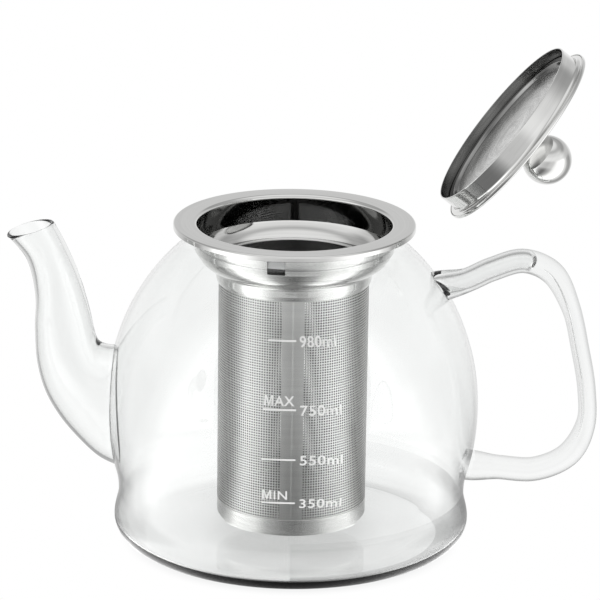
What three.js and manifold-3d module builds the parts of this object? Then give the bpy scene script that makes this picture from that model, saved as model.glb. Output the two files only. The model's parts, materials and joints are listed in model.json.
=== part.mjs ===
// A one litre glass teapot with a steel infuser and a lid, in millimetres, +Z up.
// The origin is the middle of the flat underside of the glass, on the pot's own axis.
// +X points to the handle and -X to the spout. The lid stands off the pot, tipped
// over to the handle's side, and turns back down onto the infuser about LID_PIVOT.

import * as THREE from 'three';
import { mergeVertices } from 'three/addons/utils/BufferGeometryUtils.js';
import Module from 'manifold-3d';

const wasm = await Module();
wasm.setup();

// Driving dimensions

const GAP = 0.3; // kept between pieces that touch
const ROUND = 40; // facets round the pot's axis
const LID_ROUND = 36; // facets round the lid's axis

const GLASS = 1.4; // wall of the body
const FLOOR = 2.2; // glass under the tea
const FOOT = { radius: 61.7, arcWidth: 10.9, height: 8.3 };
const WAIST = { radius: 60.2, height: 17.3 };
const BELLY = { radius: 64.6, height: 48.1, rise: 71.8, from: 25.8 };
const NECK = { radius: 36.2, top: 113.2 };

const SPOUT_WALL = 1.4;
const HANDLE = { thick: 4.2, slim: 3.2, wide: 4.6, flare: 1.1, boreRadius: 2.5, boreEnd: 0.25 };

const SHEET = 0.6; // steel of the collar
const RIM = NECK.top + GAP + SHEET; // top of the infuser's flange
const FLANGE = { radius: 41.7, hem: 1.8, round: 0.7 };
const BOWL = { radius: 33.4, depth: 9.3 };
const FUNNEL = { centre: 26.9, height: 10, from: - 25, to: - 72 };
const THROAT = { radius: 26.2, fillet: 1.8, from: 17, depth: 20.3 };
const VENT = { width: 6.2, top: 3.6, bottom: 9, turn: -10 };

const BASKET = { radius: 25.9, sheet: 0.4, bottom: 9.1, capWall: 5.5, corner: 2.4 };
const LIP = { depth: 13.4, radius: 0.7 };

const BRIM = { radius: 35, sheet: 0.6, hem: 1.4 };
const SKIRT = { radius: 32.5, sheet: 0.5, depth: 6.6, fillet: 1.2 };
const DOME = { rise: 2.2, radius: 33.5, hole: 2.2 };
const LINER = { disc: 28.6, ledge: 29.2, sheet: 0.5, height: -1.6, drop: 1.2 };
const BALL = { radius: 8.5, height: 13.7, socket: 12.3 };
const STEM = { radius: 3.3, waist: 2.8, bore: 2.2, top: 6.4 };
const SCREW = { radius: 1.9, head: 4, headHeight: 1.4, top: 12 };

const LID_TURN = 128.5; // degrees from closed to where the lid is shown
const LID_PIVOT = { x: 45.2, z: RIM + GAP - 2.3 };

// Finishes

const glass = () => new THREE.MeshStandardMaterial( {
	color: 0xf4f7f6, roughness: 0.05, metalness: 0, transparent: true, opacity: 0.25 } );
const polished = () => new THREE.MeshStandardMaterial( { color: 0xd0d0ce, roughness: 0.12, metalness: 1 } );
const satin = () => new THREE.MeshStandardMaterial( { color: 0xb9b9b6, roughness: 0.35, metalness: 1 } );
const etched = () => new THREE.MeshStandardMaterial( { color: 0xa3a3a0, roughness: 0.4, metalness: 1 } );

// Shape tools

const at = ( r, z ) => new THREE.Vector2( r, z );

// Points on an elliptic arc; angles in degrees, 0 along +r and 90 along +z.
function arc( centre, width, height, from, to, steps ) {

	return Array.from( { length: steps + 1 }, ( _, i ) => {

		const angle = THREE.MathUtils.degToRad( from + ( to - from ) * i / steps );
		return at( centre.x + width * Math.cos( angle ), centre.y + height * Math.sin( angle ) );

	} );

}

// The same outline moved sideways by a distance, to the right of its own direction.
function moved( outline, distance ) {

	return outline.map( ( point, i ) => {

		const before = outline[ Math.max( i - 1, 0 ) ];
		const after = outline[ Math.min( i + 1, outline.length - 1 ) ];
		const way = after.clone().sub( before ).normalize();
		const leg = i > 0 ? point.clone().sub( before ).normalize() : way;
		const reach = distance / Math.max( way.dot( leg ), 0.5 );
		return at( point.x + way.y * reach, point.y - way.x * reach );

	} );

}

// The closed section of a sheet: one face's outline and the other face moved off it.
function sheetSection( outline, thickness ) {

	return [ ...outline, ...moved( outline, thickness ).reverse(), outline[ 0 ].clone() ];

}

// A section turned round the Z axis.
const turned = ( section, facets ) => new THREE.LatheGeometry( section, facets ).rotateX( Math.PI / 2 );

// A unit cylinder bent along a section function: its axis runs from 'from' to 'to',
// its X becomes the section's 'across' vector and its Z the section's 'side' vector.
function carried( section, facets, steps, from, to ) {

	const geometry = new THREE.CylinderGeometry( 1, 1, 1, facets, steps );
	const position = geometry.getAttribute( 'position' );
	const point = new THREE.Vector3();
	for ( let i = 0; i < position.count; i ++ ) {

		point.fromBufferAttribute( position, i );
		const { centre, across, side } = section( from + ( point.y + 0.5 ) * ( to - from ) );
		const place = centre.clone().addScaledVector( across, point.x ).addScaledVector( side, point.z );
		position.setXYZ( i, place.x, place.y, place.z );

	}

	return geometry;

}

function solid( geometry ) {

	const bare = geometry.clone();
	bare.deleteAttribute( 'normal' );
	bare.deleteAttribute( 'uv' );
	const merged = mergeVertices( bare, 1e-4 );
	return new wasm.Manifold( new wasm.Mesh( {
		numProp: 3,
		vertProperties: new Float32Array( merged.getAttribute( 'position' ).array ),
		triVerts: new Uint32Array( merged.index.array ),
	} ) );

}

function shape( manifold ) {

	const mesh = manifold.getMesh();
	const geometry = new THREE.BufferGeometry();
	geometry.setAttribute( 'position', new THREE.BufferAttribute( mesh.vertProperties, 3 ) );
	geometry.setIndex( new THREE.BufferAttribute( mesh.triVerts, 1 ) );
	geometry.computeVertexNormals();
	return geometry;

}

function piece( name, geometry, material ) {

	const mesh = new THREE.Mesh( geometry, material );
	mesh.name = name;
	return mesh;

}

// Glass body

const bellyRadius = ( z ) => BELLY.radius * Math.sqrt( 1 - ( ( z - BELLY.height ) / BELLY.rise ) ** 2 );

// Outside of the body from the edge of its flat underside up to the rim: a rounded
// foot, a shallow waist, then one ellipse up to a short straight neck.
function bodyOutline() {

	const foot = arc( at( FOOT.radius - FOOT.arcWidth, FOOT.height ), FOOT.arcWidth, FOOT.height, - 90, 0, 5 );
	const hip = [ 1, 2, 3 ].map( ( i ) => at(
		THREE.MathUtils.lerp( FOOT.radius, WAIST.radius, THREE.MathUtils.smoothstep( i / 3, 0, 1 ) ),
		THREE.MathUtils.lerp( FOOT.height, WAIST.height, i / 3 ) ) );
	const neckFoot = BELLY.height + BELLY.rise * Math.sqrt( 1 - ( NECK.radius / BELLY.radius ) ** 2 );
	const belly = Array.from( { length: 13 }, ( _, i ) => {

		const z = THREE.MathUtils.lerp( BELLY.from, neckFoot, 1 - ( 1 - i / 12 ) ** 1.3 );
		return at( bellyRadius( z ), z );

	} );
	return [ ...foot, ...hip, ...belly, at( NECK.radius, NECK.top ) ];

}

const outside = bodyOutline();

function bodyInside() {

	const wall = moved( outside, - GLASS ).slice( 7 );
	const knee = wall[ 0 ];
	const reach = FOOT.arcWidth + 1;
	const cove = arc( at( knee.x - reach, knee.y ), reach, knee.y - FLOOR, - 90, 0, 5 ).slice( 0, - 1 );
	wall[ wall.length - 1 ].y = NECK.top;
	return [ at( 0, FLOOR ), ...cove, ...wall ];

}

// The solid of revolution inside an outline, used to trim what is welded to the body.
const filled = ( outline ) => solid( turned(
	[ at( 0, outline[ 0 ].y ), ...outline, at( 0, outline.at( - 1 ).y ) ], ROUND ) );

function glassBody() {

	const section = [ at( 0, 0 ), ...outside, ...bodyInside().reverse() ];
	const shell = solid( turned( section, ROUND ) );
	return piece( 'glass_body', shape( shell.subtract( spoutBore() ) ), glass() );

}

// Spout: each section's lower and upper edge, from the root to the pouring lip, and
// its half width across the pot.

const spoutLower = new THREE.CatmullRomCurve3( [
	[ - 59, 24.5 ], [ - 66.8, 28.3 ], [ - 74, 34.9 ], [ - 80.6, 42.8 ], [ - 85.6, 51.6 ], [ - 88.5, 62 ],
	[ - 89.3, 74 ], [ - 89.2, 87 ], [ - 92.3, 100.2 ], [ - 98.9, 108.6 ],
].map( ( [ x, z ] ) => new THREE.Vector3( x, 0, z ) ) );

const spoutUpper = new THREE.CatmullRomCurve3( [
	[ - 58.6, 69 ], [ - 63.6, 68.6 ], [ - 67.2, 70.1 ], [ - 68.8, 74.2 ], [ - 69.8, 79.4 ], [ - 71.2, 85 ],
	[ - 72.9, 91 ], [ - 75, 97 ], [ - 78.2, 104.4 ], [ - 82.6, 113 ],
].map( ( [ x, z ] ) => new THREE.Vector3( x, 0, z ) ) );

const spoutHalfWidth = ( t ) => 8.2 + 6.6 * ( 1 - THREE.MathUtils.smoothstep( t, - 0.1, 0.8 ) );

// A spout section; t runs past 0 and 1 in a straight line, so that a bore can too.
function spoutSection( wall ) {

	return ( t ) => {

		const inside = THREE.MathUtils.clamp( t, 0, 1 );
		const lower = spoutLower.getPoint( inside );
		const upper = spoutUpper.getPoint( inside );
		const across = upper.clone().sub( lower );
		const half = across.length() / 2 - wall;
		across.setLength( half );
		const onward = new THREE.Vector3( - across.z, 0, across.x ).setLength( 100 * ( t - inside ) );
		return {
			centre: lower.add( upper ).multiplyScalar( 0.5 ).add( onward ),
			across,
			side: new THREE.Vector3( 0, wall - spoutHalfWidth( inside ), 0 ),
		};

	};

}

const spoutBore = () => solid( carried( spoutSection( SPOUT_WALL ), 16, 13, - 0.1, 1.03 ) );

function glassSpout() {

	const tube = solid( carried( spoutSection( 0 ), 16, 12, 0, 1 ) );
	const trimmed = tube.subtract( filled( moved( outside, GAP ) ) );
	return piece( 'glass_spout', shape( trimmed.subtract( spoutBore() ) ), glass() );

}

// Handle: a glass rod drawn out thinner along the grip, hollow from its upper root.

const handleLine = new THREE.CatmullRomCurve3( [
	[ 46, 91 ], [ 58.8, 93.8 ], [ 68, 98 ], [ 78.8, 100.7 ], [ 88.4, 96.6 ], [ 95.3, 84.8 ], [ 99.4, 69.8 ],
	[ 102.1, 55 ], [ 102.2, 42.4 ], [ 96.6, 31.2 ], [ 85.3, 25.6 ], [ 71.5, 26 ], [ 57.5, 26.9 ],
].map( ( [ x, z ] ) => new THREE.Vector3( x, 0, z ) ), false, 'centripetal' );

function handleSection( t ) {

	const { smoothstep } = THREE.MathUtils;
	const grip = smoothstep( t, 0.28, 0.42 ) * ( 1 - smoothstep( t, 0.62, 0.74 ) );
	const root = 1 - smoothstep( Math.min( t, 1 - t ), 0.03, 0.1 );
	const half = THREE.MathUtils.lerp( HANDLE.thick, HANDLE.slim, grip ) + HANDLE.flare * root;
	const tangent = handleLine.getTangentAt( t );
	return {
		centre: handleLine.getPointAt( t ),
		across: new THREE.Vector3( - tangent.z, 0, tangent.x ).setLength( half ),
		side: new THREE.Vector3( 0, HANDLE.wide + HANDLE.flare * root, 0 ),
	};

}

// The hollow runs on at one size and closes with a round end.
function handleBore( t ) {

	const { centre, across, side } = handleSection( t );
	const closing = Math.sqrt( 1 - THREE.MathUtils.smoothstep( t, HANDLE.boreEnd - 0.04, HANDLE.boreEnd ) * 0.96 );
	across.setLength( HANDLE.boreRadius * closing );
	side.setLength( ( HANDLE.boreRadius + 0.4 ) * closing );
	return { centre, across, side };

}

function glassHandle() {

	const rod = solid( carried( handleSection, 12, 36, 0, 1 ) );
	const bore = solid( carried( handleBore, 8, 10, 0, HANDLE.boreEnd ) );
	const trimmed = rod.subtract( filled( moved( outside, GAP ) ) ).subtract( bore );
	return piece( 'glass_handle', shape( trimmed ), glass() );

}

// Infuser. Heights in these sections are measured from the top of the flange.

function collarOutline() {

	const edge = arc( at( FLANGE.radius - FLANGE.round, - FLANGE.round ), FLANGE.round, FLANGE.round, 0, 90, 2 );
	const lip = arc( at( BOWL.radius + SHEET, - SHEET ), SHEET, SHEET, 90, 180, 2 );
	const lean = THREE.MathUtils.degToRad( - FUNNEL.from );
	const middle = at( FUNNEL.centre, FUNNEL.height * Math.sin( lean ) - BOWL.depth );
	const width = ( BOWL.radius - FUNNEL.centre ) / Math.cos( lean );
	const funnel = arc( middle, width, FUNNEL.height, FUNNEL.from, FUNNEL.to, 4 );
	const throat = arc( at( THROAT.radius + THROAT.fillet, - THROAT.from ), THROAT.fillet, THROAT.fillet, 115, 180, 2 );
	return [
		at( FLANGE.radius, - FLANGE.hem ), ...edge, ...lip, ...funnel, ...throat,
		at( THROAT.radius, - THROAT.depth ),
	];

}

function infuserCollar() {

	const section = sheetSection( collarOutline(), - SHEET );
	const collar = solid( turned( section, ROUND ).translate( 0, 0, RIM ) );
	const height = VENT.bottom - VENT.top;
	const cutter = new THREE.BoxGeometry( VENT.width, 6, height );
	cutter.translate( 0, - BOWL.radius, RIM - VENT.top - height / 2 );
	cutter.rotateZ( THREE.MathUtils.degToRad( VENT.turn ) );
	return piece( 'infuser_collar', shape( collar.subtract( solid( cutter ) ) ), polished() );

}

// The sleeve's top is rolled outwards into a lip that hides the cut edge.
function basketSleeve() {

	const top = RIM - LIP.depth;
	const foot = BASKET.bottom + BASKET.capWall + GAP;
	const inner = BASKET.radius - BASKET.sheet;
	const lip = arc( at( BASKET.radius + 0.3, top - LIP.radius ), LIP.radius, LIP.radius, 180, - 60, 5 );
	const section = [ at( inner, foot ), at( BASKET.radius, foot ), at( BASKET.radius, top - 2 * LIP.radius ) ];
	section.push( ...lip.reverse(), at( inner, top - LIP.radius ), at( inner, foot ) );
	return piece( 'basket_sleeve', turned( section, ROUND ), etched() );

}

// The cap closes the sleeve: a shallow cup with a rounded corner.
function basketCap() {

	const corner = at( BASKET.radius - BASKET.corner, BASKET.bottom + BASKET.corner );
	const outline = [
		at( 0, BASKET.bottom ), ...arc( corner, BASKET.corner, BASKET.corner, - 90, 0, 4 ),
		at( BASKET.radius, BASKET.bottom + BASKET.capWall ),
	];
	const inner = moved( outline, - BASKET.sheet );
	inner.at( - 1 ).y = BASKET.bottom + BASKET.capWall;
	return piece( 'basket_cap', turned( [ ...outline, ...inner.reverse() ], ROUND ), satin() );

}

// Lid. Heights in these sections are measured from the plane that rests on the flange.

const domeHeight = ( r ) => BRIM.hem + DOME.rise * ( 1 - ( r / DOME.radius ) ** 2 );

// A low dome whose edge is hemmed down round the skirt's flange.
function lidCover() {

	const dome = [ 0, 1, 2, 3, 4, 5 ].map( ( i ) => {

		const r = THREE.MathUtils.lerp( DOME.hole, DOME.radius, i / 5 );
		return at( r, domeHeight( r ) );

	} );
	const outline = [ ...dome, at( BRIM.radius - 0.4, BRIM.hem ), at( BRIM.radius, BRIM.hem - 0.4 ), at( BRIM.radius, 0 ) ];
	const hem = BRIM.radius - BRIM.sheet + GAP;
	const under = [ at( hem, 0 ), at( hem, BRIM.hem - BRIM.sheet ) ];
	under.push( ...dome.map( ( { x, y } ) => at( x, y - BRIM.sheet ) ).reverse() );
	return piece( 'lid_cover', turned( [ ...outline, ...under, outline[ 0 ].clone() ].reverse(), LID_ROUND ), polished() );

}

// The ring that drops into the infuser's bowl, with the flange it hangs from.
function lidSkirt() {

	const centre = at( SKIRT.radius + SKIRT.fillet, - SKIRT.fillet );
	const flange = BRIM.radius - BRIM.sheet;
	const outline = [
		at( SKIRT.radius, - SKIRT.depth ), ...arc( centre, SKIRT.fillet, SKIRT.fillet, 180, 90, 3 ), at( flange, 0 ),
	];
	return piece( 'lid_skirt', turned( sheetSection( outline, - SKIRT.sheet ), LID_ROUND ), polished() );

}

// The flat pan that closes the lid from below; its edge lies against the skirt.
function lidLiner() {

	const edge = SKIRT.radius - SKIRT.sheet - GAP;
	const ledge = LINER.height - LINER.drop;
	const upper = [
		at( 0, LINER.height ), at( LINER.disc, LINER.height ), at( LINER.ledge, ledge ),
		at( edge - LINER.sheet, ledge ), at( edge - LINER.sheet, ledge + 2.2 ),
	];
	const lower = [
		at( edge, ledge + 2.2 ), at( edge, ledge - LINER.sheet ), at( LINER.ledge - 0.4, ledge - LINER.sheet ),
		at( LINER.disc - 0.4, LINER.height - LINER.sheet ), at( 0, LINER.height - LINER.sheet ),
	];
	return piece( 'lid_liner', turned( [ ...upper, ...lower ].reverse(), LID_ROUND ), satin() );

}

function knobBall() {

	const ball = solid( new THREE.SphereGeometry( BALL.radius, 24, 14 ).rotateX( Math.PI / 2 ).translate( 0, 0, BALL.height ) );
	const seat = turned( [
		at( 0, 0 ), at( STEM.radius + GAP, 0 ), at( STEM.radius + GAP, STEM.top + GAP ),
		at( STEM.bore, STEM.top + GAP ), at( STEM.bore, BALL.socket ), at( 0, BALL.socket ),
	], 20 );
	return piece( 'knob_ball', shape( ball.subtract( solid( seat ) ) ), polished() );

}

function knobStem() {

	const foot = domeHeight( DOME.hole ) + GAP;
	const section = [
		at( STEM.bore, foot ), at( STEM.radius, foot ), at( STEM.waist, ( foot + STEM.top ) / 2 ),
		at( STEM.radius, STEM.top ), at( STEM.bore, STEM.top ), at( STEM.bore, foot ),
	];
	return piece( 'knob_stem', turned( section, 20 ), polished() );

}

// The screw's head is shut in between the dome and the liner.
function knobScrew() {

	const seat = domeHeight( SCREW.head ) - BRIM.sheet - GAP;
	const section = [
		at( 0, seat - SCREW.headHeight ), at( SCREW.head, seat - SCREW.headHeight ), at( SCREW.head, seat ),
		at( SCREW.radius, seat ), at( SCREW.radius, SCREW.top ), at( 0, SCREW.top ),
	];
	return piece( 'knob_screw', turned( section, 20 ), satin() );

}

// Assembly

const lid = new THREE.Group();
lid.position.set( - LID_PIVOT.x, 0, RIM + GAP - LID_PIVOT.z );
lid.add( lidCover(), lidSkirt(), lidLiner(), knobBall(), knobStem(), knobScrew() );

const swing = new THREE.Group();
swing.position.set( LID_PIVOT.x, 0, LID_PIVOT.z );
swing.rotation.y = THREE.MathUtils.degToRad( LID_TURN );
swing.add( lid );

const teapot = new THREE.Group();
teapot.add( glassBody(), glassSpout(), glassHandle() );
teapot.add( infuserCollar(), basketSleeve(), basketCap(), swing );

export default teapot;
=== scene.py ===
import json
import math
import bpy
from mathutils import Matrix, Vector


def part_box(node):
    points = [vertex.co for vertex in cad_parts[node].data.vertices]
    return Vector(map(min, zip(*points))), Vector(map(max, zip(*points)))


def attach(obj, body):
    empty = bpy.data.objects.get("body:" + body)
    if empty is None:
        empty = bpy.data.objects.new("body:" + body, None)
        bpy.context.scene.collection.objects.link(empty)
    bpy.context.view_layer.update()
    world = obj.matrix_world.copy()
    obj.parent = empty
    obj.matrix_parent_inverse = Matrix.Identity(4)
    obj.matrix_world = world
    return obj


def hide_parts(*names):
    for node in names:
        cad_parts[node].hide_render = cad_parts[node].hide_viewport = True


bl_info = {
    "name": "Glass Teapot",
    "version": (1, 0, 0),
    "blender": (4, 5, 0),
    "location": "3D View > Sidebar > Teapot",
    "description": "Builds a glass teapot with a steel infuser and a loose lid around its packed frame",
    "category": "Add Mesh",
}

import bpy
import numpy as np
from bpy.props import FloatProperty, FloatVectorProperty, IntProperty, PointerProperty
from mathutils import Euler, Matrix, Vector

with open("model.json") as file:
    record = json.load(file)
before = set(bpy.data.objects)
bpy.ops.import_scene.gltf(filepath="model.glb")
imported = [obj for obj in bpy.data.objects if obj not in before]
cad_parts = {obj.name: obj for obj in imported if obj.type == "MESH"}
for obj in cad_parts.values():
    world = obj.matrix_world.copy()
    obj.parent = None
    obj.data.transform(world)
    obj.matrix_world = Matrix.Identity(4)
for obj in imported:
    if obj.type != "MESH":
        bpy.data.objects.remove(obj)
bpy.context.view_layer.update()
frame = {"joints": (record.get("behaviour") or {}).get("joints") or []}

# Places and sizes read from the frame, in metres


def low(node):
    """Lowest corner of a CAD node as an array."""
    return np.array(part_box(node)[0])


def high(node):
    """Highest corner of a CAD node as an array."""
    return np.array(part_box(node)[1])


RIM = high("infuser_collar")[2]  # top of the infuser's flange
FLANGE_RADIUS = high("infuser_collar")[1]
BELLY_RADIUS = high("glass_body")[1]
NECK_TOP = high("glass_body")[2]
BASKET_RADIUS = high("basket_cap")[1]
BASKET_BOTTOM = low("basket_cap")[2]
CAP_TOP = high("basket_cap")[2]
LIP_TOP = high("basket_sleeve")[2]
BRIM_RADIUS = high("lid_cover")[1]
BALL_RADIUS = (high("knob_ball") - low("knob_ball"))[1] / 2
SWING = next(joint for joint in frame["joints"] if joint["name"] == "lid_swing")
REST_GAP = 0.0003  # the frame's gap between pieces that touch
HAIR = 0.00002  # how far the print stands off the glass


def size_property(name, description, default, **more):
    """A size in metres."""
    return FloatProperty(name=name, description=description, default=default, unit="LENGTH", **more)


def angle_property(name, description, degrees):
    """An angle, given in degrees."""
    return FloatProperty(
        name=name, description=description, default=math.radians(degrees), subtype="ANGLE")


def factor_property(name, description, default):
    """A share or a ratio."""
    return FloatProperty(name=name, description=description, default=default, subtype="FACTOR")


def colour_property(name, description, default):
    """A colour."""
    return FloatVectorProperty(
        name=name, description=description, default=default, size=3, subtype="COLOR", min=0, max=1)


class GlassSizes(bpy.types.PropertyGroup):
    """Sizes of the blown glass."""

    wall: size_property("Wall", "Thickness of the body's wall", 0.0011)
    floor: size_property("Floor", "Thickness of the glass under the tea", 0.0022)
    foot_radius: size_property("Foot radius", "Widest radius of the rounded foot", 0.0617)
    foot_width: size_property("Foot rounding", "How far the foot curls in to the flat underside", 0.0109)
    foot_height: size_property("Foot height", "Height of the foot's widest ring", 0.0083)
    waist_radius: size_property("Waist radius", "Radius of the waist above the foot", 0.0602)
    waist_height: size_property("Waist height", "Height of the waist", 0.0173)
    belly_height: size_property("Belly height", "Height of the widest ring of the belly", 0.0481)
    belly_rise: size_property("Belly rise", "Half height of the belly's ellipse", 0.0718)
    belly_start: size_property(
        "Belly start", "Height where the belly's ellipse takes over from the waist", 0.0258)
    neck_radius: size_property("Neck radius", "Outer radius of the short neck", 0.0362)
    spout_wall: size_property("Spout wall", "Thickness of the spout's wall", 0.0014)
    spout_mouth: size_property("Spout half width", "Half width of the spout at its mouth", 0.0082)
    spout_swell: size_property("Spout swell", "Half width that the spout gains towards its root", 0.0066)
    handle_thick: size_property("Handle", "Half thickness of the handle's arms", 0.0042)
    handle_slim: size_property("Grip", "Half thickness of the drawn-out grip", 0.0032)
    handle_wide: size_property("Handle width", "Half width of the handle across the pot", 0.0046)
    handle_flare: size_property("Root flare", "Half thickness that the handle gains at its welds", 0.0011)
    hollow_radius: size_property("Hollow", "Radius of the hollow in the handle's upper arm", 0.0025)
    hollow_end: factor_property("Hollow end", "Share of the handle's length that is hollow", 0.25)
    tint: colour_property("Glass tint", "Colour of the glass", (0.985, 0.992, 0.988))
    ripple: size_property("Ripple", "Height of the faint waves in the blown glass", 0.00002)


class InfuserSizes(bpy.types.PropertyGroup):
    """Sizes of the steel infuser."""

    sheet: size_property("Sheet", "Thickness of the collar's steel", 0.0006)
    hem: size_property("Hem", "Depth of the flange's turned down edge", 0.0018)
    bowl_radius: size_property("Bowl radius", "Inner radius of the bowl", 0.0334)
    bowl_depth: size_property("Bowl depth", "Depth of the crease under the bowl's wall", 0.0093)
    lip: size_property("Lip", "Radius of the rolled lip between flange and bowl", 0.0013)
    throat_radius: size_property("Throat radius", "Inner radius of the throat", 0.0262)
    throat_start: size_property("Throat start", "Depth where the funnel meets the throat", 0.017)
    throat_depth: size_property("Throat depth", "Depth of the throat's lower edge", 0.0203)
    vent_width: size_property("Vent width", "Width of the vent window", 0.0062)
    vent_top: size_property("Vent top", "Depth of the vent's upper edge", 0.0022)
    vent_bottom: size_property("Vent bottom", "Depth of the vent's lower edge", 0.0092)
    vent_turn: angle_property("Vent turn", "Angle of the vent from the front", -10)
    basket_sheet: size_property("Basket sheet", "Thickness of the basket's steel", 0.0004)
    pitch: size_property("Pitch", "Distance between perforations", 0.00093, precision=5)
    hole: size_property("Hole", "Radius of a perforation", 0.00033, precision=5)
    seam: size_property("Seam", "Width of the plain strip at the sleeve's seam", 0.0074)
    corner: size_property("Corner", "Radius of the cap's corner", 0.0009)
    colour: colour_property("Steel", "Colour of the steel", (0.72, 0.72, 0.71))


class LidSizes(bpy.types.PropertyGroup):
    """Sizes of the lid and its knob."""

    sheet: size_property("Sheet", "Thickness of the cover's steel", 0.0006)
    hem: size_property("Hem", "Height of the hemmed edge", 0.0014)
    dome: size_property("Dome", "Rise of the dome over its edge", 0.0022)
    skirt_radius: size_property("Skirt radius", "Outer radius of the skirt", 0.0325)
    skirt_sheet: size_property("Skirt sheet", "Thickness of the skirt", 0.0005)
    skirt_depth: size_property("Skirt depth", "Depth of the skirt under the brim", 0.0066)
    skirt_fillet: size_property("Skirt fillet", "Radius between skirt and brim", 0.0012)
    disc_radius: size_property("Disc radius", "Radius of the liner's brushed disc", 0.0286)
    disc_height: size_property("Disc height", "Depth of the liner's disc", 0.0016)
    ledge_drop: size_property("Ledge drop", "Step from the disc down to the ledge", 0.0012)
    ball_height: size_property("Ball height", "Height of the ball's centre over the brim", 0.0137)
    stem_radius: size_property("Stem radius", "Radius of the stem at its ends", 0.0033)
    stem_waist: size_property("Stem waist", "Radius of the stem's middle", 0.0028)
    stem_top: size_property("Stem top", "Height of the stem's top over the brim", 0.0064)


class MarkSizes(bpy.types.PropertyGroup):
    """Sizes of the white volume marks."""

    digits: size_property("Digits", "Height of the digits", 0.0034)
    capitals: size_property("Capitals", "Height of the capitals", 0.0033)
    width: factor_property("Digit width", "How much wider than the plain letters the digits are", 1.2)
    capital_width: factor_property(
        "Capital width", "How much wider than the plain letters the capitals are", 1.04)
    line_width: size_property("Line width", "Thickness of a mark's line", 0.0006)
    line_left: size_property("Line start", "Where a line starts, left of the front", -0.0098)
    line_right: size_property("Line end", "Where a line ends", 0.0014)
    film: size_property("Film", "Thickness of the print", 0.00006, precision=5)
    colour: colour_property("Print", "Colour of the print", (0.95, 0.95, 0.94))


class StageSizes(bpy.types.PropertyGroup):
    """The camera and the lights."""

    distance: size_property("Distance", "Distance of the camera", 1.5)
    elevation: angle_property("Elevation", "Angle of the camera above the table", 17.5)
    roll: angle_property("Roll", "Turn of the camera about its line of sight", 0.8)
    aim_x: size_property("Aim across", "Where the camera looks, across the pot", 0.0022)
    aim_z: size_property("Aim height", "Height that the camera looks at", 0.08605)
    lens: FloatProperty(name="Lens", description="Focal length in millimetres", default=260.8)
    floor: FloatProperty(name="Floor", description="Brightness of the floor", default=1.0)


# Shape tools: every outline is an array of points, worked out as a whole


def arc(centre, width, height, start, end, steps):
    """Points at centre + (width cos a, height sin a) for angles a from start to end, in degrees."""
    angle = np.radians(np.linspace(start, end, steps + 1))
    return np.stack([centre[0] + width * np.cos(angle), centre[1] + height * np.sin(angle)], axis=1)


def filleted(corners, closed=False, step=math.radians(12)):
    """A polygon with each corner (r, z, radius) replaced by the arc of that radius that touches
    both of its sides: the arc starts radius / tan(half the inside angle) before the corner."""
    corners = np.asarray(corners, float)
    count = len(corners)
    path = []
    for i, (r, z, radius) in enumerate(corners):
        here = np.array([r, z])
        if radius <= 0 or (not closed and i in (0, count - 1)):
            path.append(here[None])
            continue
        before = corners[i - 1, :2] - here
        after = corners[(i + 1) % count, :2] - here
        before, after = before / np.linalg.norm(before), after / np.linalg.norm(after)
        half = math.acos(np.clip(before @ after, -1, 1)) / 2
        middle = (before + after) / np.linalg.norm(before + after)
        centre = here + middle * radius / math.sin(half)
        first = here + before * radius / math.tan(half) - centre
        turn = math.pi - 2 * half
        side = math.copysign(1, before[1] * after[0] - before[0] * after[1])
        angle = np.linspace(0, side * turn, max(2, int(turn / step) + 2))[:, None]
        across = np.array([-first[1], first[0]])
        path.append(centre + first * np.cos(angle) + across * np.sin(angle))
    path = np.concatenate(path)
    return np.concatenate([path, path[:1]]) if closed else path


def moved(path, distance):
    """The path moved sideways by a distance, to the right of its own direction."""
    leg = np.diff(path, axis=0)
    leg /= np.linalg.norm(leg, axis=1, keepdims=True)
    way = np.concatenate([leg[:1], leg[:-1] + leg[1:], leg[-1:]])
    way /= np.linalg.norm(way, axis=1, keepdims=True)
    reach = distance / np.maximum((way * np.concatenate([leg[:1], leg])).sum(1), 0.5)
    return path + np.stack([way[:, 1], -way[:, 0]], axis=1) * reach[:, None]


def sheet_section(path, thickness):
    """The closed section of a sheet whose one face follows the path: the other face is the path
    moved sideways, and both cut edges are rounded off with a half circle of points."""
    other = moved(path, thickness)[::-1]

    def edge(a, b, outward):
        middle, half = (a + b) / 2, (a - b) / 2
        angle = np.linspace(0, math.pi, 7)[1:-1, None]
        bulge = outward * np.linalg.norm(half)
        return middle + half * np.cos(angle) + bulge * np.sin(angle) * 0.6

    ends = path[-1] - path[-2], path[0] - path[1]
    far, near = (end / np.linalg.norm(end) for end in ends)
    return np.concatenate(
        [path, edge(path[-1], other[0], far), other, edge(other[-1], path[0], near), path[:1]])


def supported(section, gap=0.0002):
    """The section with two more points in each straight run that meets shorter ones, a gap from
    its ends, so that smooth shading bends next to the corners only."""
    leg = np.diff(section, axis=0)
    length = np.maximum(np.linalg.norm(leg, axis=1), 1e-9)
    beside = np.minimum(np.append(length[1:], length[-1]), np.append(length[0], length[:-1]))
    long = (length > 6 * gap) & (length > 3 * beside)
    near = leg / length[:, None] * gap
    points = np.stack([section[:-1], section[:-1] + near, section[1:] - near], axis=1)
    kept = np.stack([np.ones(len(leg), bool), long, long], axis=1)
    return np.concatenate([points[kept], section[-1:]])


def cubic(w, a, b, leave, arrive):
    """The cubic from a to b whose slopes there are leave and arrive, at w from 0 to 1:
    (2w^3 - 3w^2 + 1) a + (w^3 - 2w^2 + w) leave + (3w^2 - 2w^3) b + (w^3 - w^2) arrive."""
    return ((2 * w**3 - 3 * w**2 + 1) * a + (w**3 - 2 * w**2 + w) * leave
            + (3 * w**2 - 2 * w**3) * b + (w**3 - w**2) * arrive)


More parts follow.
